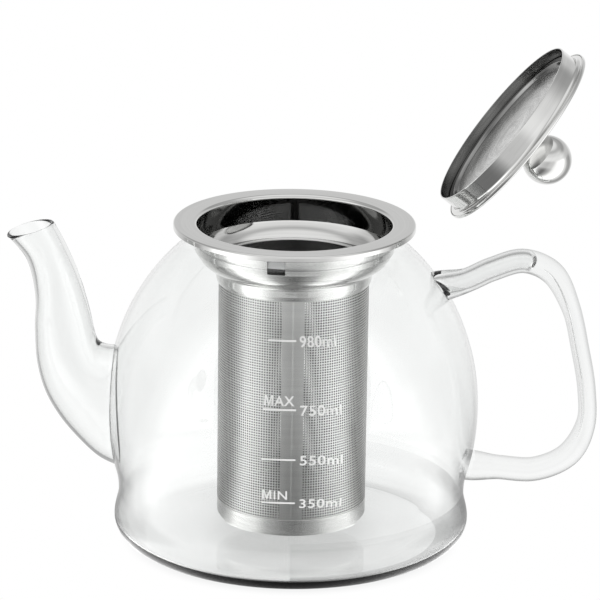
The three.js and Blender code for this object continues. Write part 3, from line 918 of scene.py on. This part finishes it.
class TEAPOT_OT_sleeve(bpy.types.Operator):
    """Rolls the perforated sleeve in panels, with its seam strip and its plain bands"""

    bl_idname = "teapot.sleeve"
    bl_label = "Basket sleeve"
    panels: IntProperty(
        name="Panels", description="Panels that the perforated sheet is split into", default=6)

    def execute(self, context):
        sizes = context.scene.teapot_infuser
        pitch = sizes.pitch
        made = steel_material("Perforated steel", sizes.colour, 2500.0, 0.1, 0.3, 0.36)
        # Painted shade: a much darker copy of the steel for the sheet's back, its hole linings, and the
        # inner faces of the lip band and the seam.
        shade = steel_material("Painted shade inner steel", tinted(sizes.colour, 0.18), 2500.0, 0.15, 0.3, 0.4)
        foot = CAP_TOP + REST_GAP / 2
        top = RIM - sizes.throat_depth + 0.0012
        bottom = foot + 0.0003
        rows = int((top - bottom) / pitch)
        around = 2 * math.pi * BASKET_RADIUS - sizes.seam
        share = round(around / pitch / self.panels)
        stretch = around / (share * self.panels * pitch)
        start = math.pi - around / BASKET_RADIUS / 2
        for i in range(self.panels):
            angle = start + i * share * pitch * stretch / BASKET_RADIUS
            bend = wrapped(BASKET_RADIUS, angle, bottom, stretch)
            panel = perforated(f"basket_panel_{i + 1}", sizes, bend, share, rows)
            stands_for = ["basket_sleeve"] if i == 0 else []
            finished(panel, (made, shade), "infuser", "perforated_steel", *stands_for)
        band_top = bottom + rows * pitch
        inner = BASKET_RADIUS - sizes.basket_sheet
        roll = 0.0007
        lip = arc((BASKET_RADIUS + 0.0003, LIP_TOP - roll), roll, roll, -60, 180, 20)
        upper = np.concatenate([
            [[inner, band_top], [BASKET_RADIUS, band_top], [BASKET_RADIUS, LIP_TOP - 2 * roll]], lip,
            [[inner, LIP_TOP - roll], [inner, band_top]]])
        band = revolved("basket_lip", upper)
        # The lip band's inner face takes the painted shade.
        paint_faces(band, lambda x, y, z: (np.hypot(x, y) < inner + 0.00005) & (z < LIP_TOP - roll))
        finished(band, (made, shade), "infuser", "perforated_steel")
        lower = filleted([
            (inner, foot, 0), (BASKET_RADIUS, foot, 0.0001), (BASKET_RADIUS, bottom, 0),
            (inner, bottom, 0)], True)
        finished(revolved("basket_margin", lower), made, "infuser", "perforated_steel")
        seam = self.seam(sizes, start, bottom, band_top)
        # The seam's inner face takes the painted shade.
        paint_faces(seam, lambda x, y, z: np.hypot(x, y) < inner + 0.00005)
        finished(seam, (made, shade), "infuser", "perforated_steel")
        return {"FINISHED"}

    def seam(self, sizes, start, bottom, top):
        """The plain strip at the front: a bent bar whose section is the sheet, with a weld line
        pressed in along its middle as a narrow groove."""
        half = start * BASKET_RADIUS
        weld = np.linspace(-0.0004, 0.0004, 9)
        across = np.unique(np.concatenate([np.linspace(-half, half, 41), weld]))
        groove = -0.00006 * np.exp(-((across / 0.00016) ** 2))
        flat = np.concatenate([across, across[::-1]])
        depth = np.concatenate([groove, np.full(len(across), -sizes.basket_sheet)])
        angle = flat / BASKET_RADIUS
        rings = around(BASKET_RADIUS + depth, angle, np.array([[bottom], [top]]))
        return tube_of_rings("basket_seam", rings, False, np.array([0.0, top - bottom]), 2 * half)


class TEAPOT_OT_cap(bpy.types.Operator):
    """Draws the basket's cap and perforates its floor"""

    bl_idname = "teapot.cap"
    bl_label = "Basket cap"

    def execute(self, context):
        sizes = context.scene.teapot_infuser
        made = steel_material("Satin steel", sizes.colour, 5000.0, 0.1, 0.2, 0.28)
        floor = BASKET_RADIUS - sizes.corner
        middle = (floor, BASKET_BOTTOM + sizes.corner)
        path = np.concatenate([
            [[floor - 0.003, BASKET_BOTTOM]], arc(middle, sizes.corner, sizes.corner, -90, 0, 12),
            [[BASKET_RADIUS, CAP_TOP]]])
        cap = revolved("basket_cap_wall", sheet_section(path, -sizes.basket_sheet))
        finished(cap, made, "infuser", "satin_steel", "basket_cap")
        count = 44
        half = count * sizes.pitch / 2

        def place(flat, depth):
            x, y = ((flat - half) / half).T
            squared = np.maximum(np.abs(x), np.abs(y)) / np.maximum(np.hypot(x, y), 1e-9)
            blend = np.where(np.hypot(x, y) > 0, squared, 1.0)
            share = np.maximum(np.abs(x), np.abs(y))[:, None] ** 1.5
            round_off = (1 - share) + share * blend[:, None]
            spot = np.stack([x, y], axis=1) * round_off * (floor - 0.0029)
            return np.column_stack([spot, BASKET_BOTTOM + sizes.basket_sheet + depth])

        disc = perforated("basket_floor", sizes, place, count, count)
        finished(disc, made, "infuser", "satin_steel")
        return {"FINISHED"}


# Lid: sections are heights over the brim, and the lid is then set into its place


BOLT_HOLE = 0.0022  # radius of the hole for the knob's screw
BRIM_BEND = 0.0015  # width of the bend between the dome and the hem


def lid_place():
    """Where the closed lid's own frame goes at rest: its brim rests a gap above the flange when the
    hinge is at its lower limit, so at rest it is turned back by that limit about the hinge."""
    turn = Matrix.Rotation(-math.radians(SWING["range_deg"][0]), 4, Vector(SWING["axis"]))
    pivot = Matrix.Translation(Vector(SWING["pos_m"]))
    closed = Matrix.Translation((0, 0, RIM + REST_GAP))
    return pivot @ turn @ pivot.inverted() @ closed


def on_lid(obj):
    """Moves a piece's mesh from the lid's own frame to where the lid is."""
    obj.data.transform(lid_place())
    return obj


def dome_height(sizes, r):
    """Height of the cover at radius r: the hem plus a shallow parabola that falls to the edge."""
    edge = BRIM_RADIUS - BRIM_BEND
    return sizes.hem + sizes.dome * (1 - (r / edge) ** 2)


class TEAPOT_OT_lid(bpy.types.Operator):
    """Forms the lid's cover, skirt and liner"""

    bl_idname = "teapot.lid"
    bl_label = "Lid"

    def execute(self, context):
        sizes = context.scene.teapot_lid
        colour = context.scene.teapot_infuser.colour
        polished = steel_material("Polished lid steel", colour, 5000.0, 0.04, 0.04, 0.09)
        brushed = steel_material("Brushed lid steel", tinted(colour, 0.8), 1100.0, 0.15, 0.2, 0.28, 0.4)
        # Painted shade: a darker copy of the steel for the skirt's inner face and the liner's ledge and
        # wall.
        dark = steel_material("Painted shade lid steel", tinted(colour, 0.3), 900.0, 0.03, 0.12, 0.2, 0.5)
        r = np.linspace(BOLT_HOLE, BRIM_RADIUS - BRIM_BEND, 40)
        dome = np.stack([r, dome_height(sizes, r)], axis=1)
        edge = filleted([(*dome[-1], 0), (BRIM_RADIUS, sizes.hem, 0.0006), (BRIM_RADIUS, 0, 0)])
        cover = sheet_section(np.concatenate([dome, edge[1:]]), sizes.sheet - 0.0003)
        finished(on_lid(revolved("lid_dome", cover)), polished, "lid", "polished_steel", "lid_cover")
        fillet, wall = sizes.skirt_fillet, sizes.skirt_radius
        flange = BRIM_RADIUS - sizes.sheet
        skirt = np.concatenate([
            [[wall, -sizes.skirt_depth]], arc((wall + fillet, -fillet), fillet, fillet, 180, 90, 12),
            [[flange, 0]]])
        inside = wall - sizes.skirt_sheet + 0.0001
        ring = revolved("lid_ring", sheet_section(skirt, -sizes.skirt_sheet))
        # The skirt's inner face takes the painted shade.
        paint_faces(ring, lambda x, y, z: np.hypot(x, y) < inside)
        finished(on_lid(ring), (polished, dark), "lid", "polished_steel", "lid_skirt")
        finished(on_lid(self.pan(sizes)), (brushed, dark), "lid", "satin_steel", "lid_liner")
        return {"FINISHED"}

    def pan(self, sizes):
        """The liner: a flat disc, a pressed step down to a ledge, and a wall against the skirt."""
        edge = sizes.skirt_radius - sizes.skirt_sheet - REST_GAP
        sheet = 0.0005
        ledge = -sizes.disc_height - sizes.ledge_drop
        step = sizes.disc_radius + 0.0006
        under = filleted([
            (0, -sizes.disc_height - sheet, 0), (sizes.disc_radius, -sizes.disc_height - sheet, 0.0003),
            (step, ledge - sheet, 0.0004), (edge, ledge - sheet, 0.0004), (edge, ledge + 0.0022, 0)])
        over = moved(under, -sheet)[::-1]
        over[-1] = (0, -sizes.disc_height)
        pan = revolved("lid_pan", np.concatenate([under, over]))
        # The ledge and the wall around the disc take the painted shade.
        paint_faces(pan, lambda x, y, z: np.hypot(x, y) > sizes.disc_radius - 0.0002)
        return pan


class TEAPOT_OT_knob(bpy.types.Operator):
    """Turns the ball knob and its stem"""

    bl_idname = "teapot.knob"
    bl_label = "Knob"

    def execute(self, context):
        sizes = context.scene.teapot_lid
        colour = context.scene.teapot_infuser.colour
        made = steel_material("Mirror steel", colour, 5000.0, 0.0, 0.02, 0.06)
        height = sizes.ball_height
        seat = sizes.stem_radius + 0.0003
        tilt = math.degrees(math.asin(seat / BALL_RADIUS))
        outside = arc((0, height), BALL_RADIUS, BALL_RADIUS, -90 + tilt, 90, 90)
        under, drilled = height - 0.007, height - 0.0014
        ball = np.concatenate([
            [[0, drilled], [BOLT_HOLE, drilled], [BOLT_HOLE, under], [seat, under]], outside])
        ball[-1, 0] = 0
        finished(on_lid(revolved("ball", ball, 160)), made, "lid", "polished_steel", "knob_ball")
        foot = dome_height(sizes, BOLT_HOLE) + 0.0001
        half = (sizes.stem_top - foot) / 2
        flank = arc((sizes.stem_waist + 0.0025, foot + half), 0.0025, half * 1.06, 245, 115, 14)
        flank[:, 0] = np.minimum(flank[:, 0], sizes.stem_radius)
        stem = np.concatenate([
            [[BOLT_HOLE, foot], [sizes.stem_radius, foot]], flank[::-1],
            [[sizes.stem_radius, sizes.stem_top], [BOLT_HOLE, sizes.stem_top], [BOLT_HOLE, foot]]])
        finished(on_lid(revolved("stem", stem, 96)), made, "lid", "polished_steel", "knob_stem")
        screw = bpy.data.objects["knob_screw"]
        screw.data.materials.clear()
        screw.data.materials.append(made)
        return {"FINISHED"}


# Volume marks


class TEAPOT_OT_marks(bpy.types.Operator):
    """Prints the volume marks on the front of the glass"""

    bl_idname = "teapot.marks"
    bl_label = "Volume marks"

    def execute(self, context):
        sizes = context.scene.teapot_marks
        glass = context.scene.teapot_glass
        made, tree, shader, place = material("White print")
        grain = placed(tree, handling_group(), place["Object"], Size=900.0, Low=0.35, High=0.5)
        tone = mixed(tree, grain["Mask"], (*sizes.colour, 1.0), (*tinted(sizes.colour, 0.96), 1.0))
        feed(tree, shader, Roughness=grain["Roughness"], Base_Color=tone)
        levels = (
            (0.0885, "980ml", ""), (0.0672, "750ml", "MAX"), (0.0504, "550ml", ""), (0.0347, "350ml", "MIN"))
        for height, volume, word in levels:
            parts = [self.line(sizes, height)]
            low = height - sizes.digits * 0.52
            parts.append(self.word(volume, sizes.digits, sizes.width, 0.0026, low))
            if word:
                left, low = sizes.line_left + 0.0003, height + 0.0013
                parts.append(self.letter_m(sizes.capitals, left, low))
                left += sizes.capitals * 0.95 + 0.0004
                parts.append(self.word(word[1:], sizes.capitals, sizes.capital_width, left, low))
            mark = self.joined(f"mark_{volume}", parts, glass, sizes.film)
            finished(mark, made, "pot", "white_print")
        return {"FINISHED"}

    def line(self, sizes, height):
        """A flat bar as a grid of points (across, height, depth) fine enough to bend."""
        across = np.linspace(sizes.line_left, sizes.line_right, 25)
        half = sizes.line_width / 2
        corners = [(-half, 0), (half, 0), (half, 1), (-half, 1)]
        rings = np.array([[(a, height + up, depth) for up, depth in corners] for a in across])
        return tube_of_rings("bar", rings, False)

    def letter_m(self, size, left, base):
        """A raised M: an outline of thirteen corners at depths 0 and 1, with its sides."""
        outline = np.array([
            (0, 0), (0.17, 0), (0.17, 0.74), (0.395, 0), (0.535, 0), (0.76, 0.74), (0.76, 0), (0.93, 0),
            (0.93, 1), (0.7, 1), (0.465, 0.3), (0.23, 1), (0, 1)]) * size + (left, base)
        count = len(outline)
        index = np.arange(count)
        following = (index + 1) % count
        sides = np.stack([index, following, following + count, index + count], 1)
        points = np.column_stack([np.tile(outline, (2, 1)), np.repeat([0.0, 1.0], count)])
        mesh = bpy.data.meshes.new("M")
        faces = [index[::-1].tolist(), (index + count).tolist(), *sides.tolist()]
        mesh.from_pydata(points.tolist(), [], faces)
        return new_object("M", mesh)

    def word(self, text, size, width, left, base):
        """Raised letters as flat (across, height, depth) points, scaled to the given height."""
        curve = bpy.data.curves.new(text, "FONT")
        curve.body = text
        curve.size = 1.0
        curve.extrude = 0.5
        curve.resolution_u = 6
        curve.space_character = 1.08
        curve.offset = 0.012
        letters = new_object(text, curve)
        bpy.context.view_layer.update()
        shown = letters.evaluated_get(bpy.context.evaluated_depsgraph_get())
        mesh = bpy.data.meshes.new_from_object(shown)
        bpy.data.objects.remove(letters)
        points = np.empty(len(mesh.vertices) * 3)
        mesh.vertices.foreach_get("co", points)
        points = points.reshape(-1, 3)
        scale = size / 0.729  # the height of a capital at size 1
        flat = np.stack([
            left + points[:, 0] * scale * width, base + points[:, 1] * scale, points[:, 2] + 0.5], axis=1)
        mesh.vertices.foreach_set("co", flat.reshape(-1))
        return new_object(text, mesh)

    def joined(self, name, parts, glass, film):
        """Joins flat parts into one mesh and bends it onto the belly: across becomes an angle, and
        depth 0 to 1 becomes a film that stands a hair off the glass."""
        with bpy.context.temp_override(active_object=parts[0], selected_editable_objects=parts):
            bpy.ops.object.join()
        mark = parts[0]
        mark.name = mark.data.name = name
        points = np.empty(len(mark.data.vertices) * 3)
        mark.data.vertices.foreach_get("co", points)
        across, height, depth = points.reshape(-1, 3).T
        radius = belly_radius(glass, height) + HAIR + depth * film
        bent = around(radius, across / BELLY_RADIUS * 1.02, height)
        mark.data.vertices.foreach_set("co", bent.reshape(-1))
        mark.data.update()
        return mark


# Stage


PANELS = (  # light round the table: degrees from the front, and brightness
    (-180, 0.97), (-150, 0.92), (-130, 0.72), (-116, 0.45), (-100, 0.45), (-88, 0.85), (-72, 1.9),
    (-50, 1.5), (-25, 0.8), (0, 0.65), (25, 0.8), (52, 1.4), (76, 1.8), (92, 0.95), (104, 0.5),
    (118, 0.42), (132, 0.7), (150, 0.92), (180, 0.97),
)
OVERHEAD = (  # light over the back of the table: upward share of the direction, and brightness
    (0, 0.75), (0.2, 0.72), (0.36, 0.7), (0.55, 0.42), (0.75, 0.5), (0.9, 0.95), (1, 1.0),
)
OVER_FRONT = ((0, 1.0), (0.3, 1.05), (0.55, 0.9), (0.75, 0.6), (0.9, 0.95), (1, 1.0))
THROUGH_GLASS = ((0, 1.0), (0.25, 0.95), (0.6, 0.5), (1, 0.6))
# Painted shade: light mirrored again and again, deep in the bowl and inside the glass, is dimmed.
DIMMING = ((0, 1.0), (1, 1.0), (2, 0.88), (3, 0.8), (4, 0.75), (8, 0.6))  # by times mirrored
# Painted shadow of the pot on the floor's glow, by distance from the middle, ending at the foot's edge.
POT_PAINTED_SHADOW = ((0, 0.72), (0.02, 0.74), (0.034, 0.86), (0.052, 0.88))  # by distance from the middle
FOOT_EDGE = 0.0605  # where the pot's shade on the floor ends


class TEAPOT_OT_stage(bpy.types.Operator):
    """Sets the floor, the light and the camera"""

    bl_idname = "teapot.stage"
    bl_label = "Stage"

    def execute(self, context):
        sizes = context.scene.teapot_stage
        self.camera(context, sizes)
        self.floor(sizes)
        self.world(context)
        context.scene.view_settings.view_transform = "Standard"
        cycles = context.scene.cycles
        cycles.max_bounces = cycles.transmission_bounces = cycles.transparent_max_bounces = 24
        cycles.glossy_bounces = 12
        return {"FINISHED"}

    def camera(self, context, sizes):
        data = bpy.data.cameras.new("camera")
        data.lens = sizes.lens
        data.sensor_width = 36
        data.clip_start, data.clip_end = 0.05, 50
        camera = new_object("camera", data)
        up = sizes.elevation
        aim = Vector((sizes.aim_x, 0, sizes.aim_z))
        camera.location = aim + sizes.distance * Vector((0, -math.cos(up), math.sin(up)))
        turn = Euler((math.pi / 2 - up, 0, 0)).to_matrix() @ Matrix.Rotation(sizes.roll, 3, "Z")
        camera.rotation_euler = turn.to_euler()
        context.scene.camera = camera

    def ring(self, tree, x, y):
        """The light round the table as mirrors see it, by the angle from the front: a bright panel
        on each side of the front, dark flags beyond them, and the pale backdrop behind."""
        angle = calculate(tree, "ARCTAN2", x, calculate(tree, "MULTIPLY", y, -1.0))
        return ramp(tree, ranged(tree, angle, -math.pi, math.pi), PANELS, -180, 180), angle

    def mirrored(self, tree):
        """The light path's values, 1 for light that has already been mirrored once, else 0, and a
        dimmer that falls as light is mirrored again and again: painted shade for deep hollows."""
        path = add(tree, "ShaderNodeLightPath").outputs
        depth, most = path["Glossy Depth"], DIMMING[-1][0]
        dim = ramp(tree, ranged(tree, depth, 0.0, most), DIMMING, 0, most)
        return path, calculate(tree, "GREATER_THAN", depth, 0.5), dim

    def floor(self, sizes):
        """A wide round floor with a plain, even glow like a light table's, with the pot's shadow painted
        into its glow. In mirrors it is the ring of panels, with painted shade close to the pot's front."""
        angle = np.linspace(0, 2 * math.pi, 128, endpoint=False)
        points = np.stack([9 * np.cos(angle), 9 * np.sin(angle), np.full(128, -0.0002)], axis=1)
        mesh = bpy.data.meshes.new("floor")
        mesh.from_pydata(points.tolist(), [], [list(range(128))])
        made = bpy.data.materials.new("Pale floor")
        made.use_nodes = True
        made.cycles.emission_sampling = "NONE"
        tree = made.node_tree
        tree.nodes.clear()
        place = add(tree, "ShaderNodeTexCoord").outputs["Object"]
        split = add(tree, "ShaderNodeSeparateXYZ", place).outputs
        ring, angle = self.ring(tree, split["X"], split["Y"])
        reach = add(tree, "ShaderNodeVectorMath", place, operation="LENGTH").outputs["Value"]
        # Painted shade: in mirrors the floor is darker near the pot's front.
        near = ranged(tree, reach, 0.4, 0.16, smooth=True)
        front = ranged(tree, calculate(tree, "ABSOLUTE", angle), 1.0, 0.1, 0.0, -0.45, smooth=True)
        glow = calculate(tree, "MULTIPLY_ADD", near, front, ring)
        shade = ramp(tree, ranged(tree, reach, 0.0, 0.1), (*POT_PAINTED_SHADOW, (FOOT_EDGE, sizes.floor)), 0, 0.1)
        _, mirrored, dim = self.mirrored(tree)
        strength = mixed(tree, mirrored, shade, calculate(tree, "MULTIPLY", glow, dim), "FLOAT")
        light = add(tree, "ShaderNodeEmission", Color=(1, 1, 1, 1), Strength=strength)
        add(tree, "ShaderNodeOutputMaterial", Surface=light.outputs[0])
        mesh.materials.append(made)
        new_object("floor", mesh)

    def world(self, context):
        """White where it is seen straight or through glass, greyer overhead. Mirrors see the ring
        of panels near the horizon, a pale backdrop above it and a soft box overhead."""
        world = bpy.data.worlds.new("studio")
        world.use_nodes = True
        world.cycles.sampling_method = "NONE"
        context.scene.world = world
        tree = world.node_tree
        tree.nodes.clear()
        place = add(tree, "ShaderNodeTexCoord").outputs["Generated"]
        split = add(tree, "ShaderNodeSeparateXYZ", place).outputs
        up = split["Z"]
        ring, _ = self.ring(tree, split["X"], split["Y"])
        in_front = ranged(tree, split["Y"], 0.25, -0.35, smooth=True)
        high = mixed(tree, in_front, ramp(tree, up, OVERHEAD), ramp(tree, up, OVER_FRONT))
        studio = mixed(tree, ranged(tree, up, 0.0, 0.22, smooth=True), ring, high)
        path, mirrored, dim = self.mirrored(tree)
        dimmed = add(tree, "ShaderNodeVectorMath", studio, operation="SCALE", Scale=dim).outputs["Vector"]
        seen = mixed(tree, mirrored, ramp(tree, up, THROUGH_GLASS), dimmed)
        plain = mixed(tree, path["Is Camera Ray"], seen, (1, 1, 1, 1))
        background = add(tree, "ShaderNodeBackground", Color=plain)
        add(tree, "ShaderNodeOutputWorld", Surface=background.outputs[0])


class TEAPOT_PT_panel(bpy.types.Panel):
    """The teapot's pieces, in the order that they are built"""

    bl_label = "Teapot"
    bl_space_type = "VIEW_3D"
    bl_region_type = "UI"
    bl_category = "Teapot"

    def draw(self, context):
        for settings in SETTINGS:
            box = self.layout.box()
            group_data = getattr(context.scene, settings)
            for label in group_data.__annotations__:
                box.prop(group_data, label)
        for operator in OPERATORS:
            self.layout.operator(operator.bl_idname)


SETTINGS = {
    "teapot_glass": GlassSizes,
    "teapot_infuser": InfuserSizes,
    "teapot_lid": LidSizes,
    "teapot_marks": MarkSizes,
    "teapot_stage": StageSizes,
}
OPERATORS = (
    TEAPOT_OT_stage, TEAPOT_OT_glass, TEAPOT_OT_collar, TEAPOT_OT_sleeve, TEAPOT_OT_cap, TEAPOT_OT_lid,
    TEAPOT_OT_knob, TEAPOT_OT_marks,
)


def register():
    for made in (*SETTINGS.values(), *OPERATORS, TEAPOT_PT_panel):
        bpy.utils.register_class(made)
    for name, made in SETTINGS.items():
        setattr(bpy.types.Scene, name, PointerProperty(type=made))


def unregister():
    for name in SETTINGS:
        delattr(bpy.types.Scene, name)
    for made in reversed((*SETTINGS.values(), *OPERATORS, TEAPOT_PT_panel)):
        bpy.utils.unregister_class(made)


def main():
    register()
    bpy.ops.teapot.stage()
    bpy.ops.teapot.glass()
    bpy.ops.teapot.collar()
    bpy.ops.teapot.sleeve()
    bpy.ops.teapot.cap()
    bpy.ops.teapot.lid()
    bpy.ops.teapot.knob()
    bpy.ops.teapot.marks()


if __name__ == "__main__":
    main()
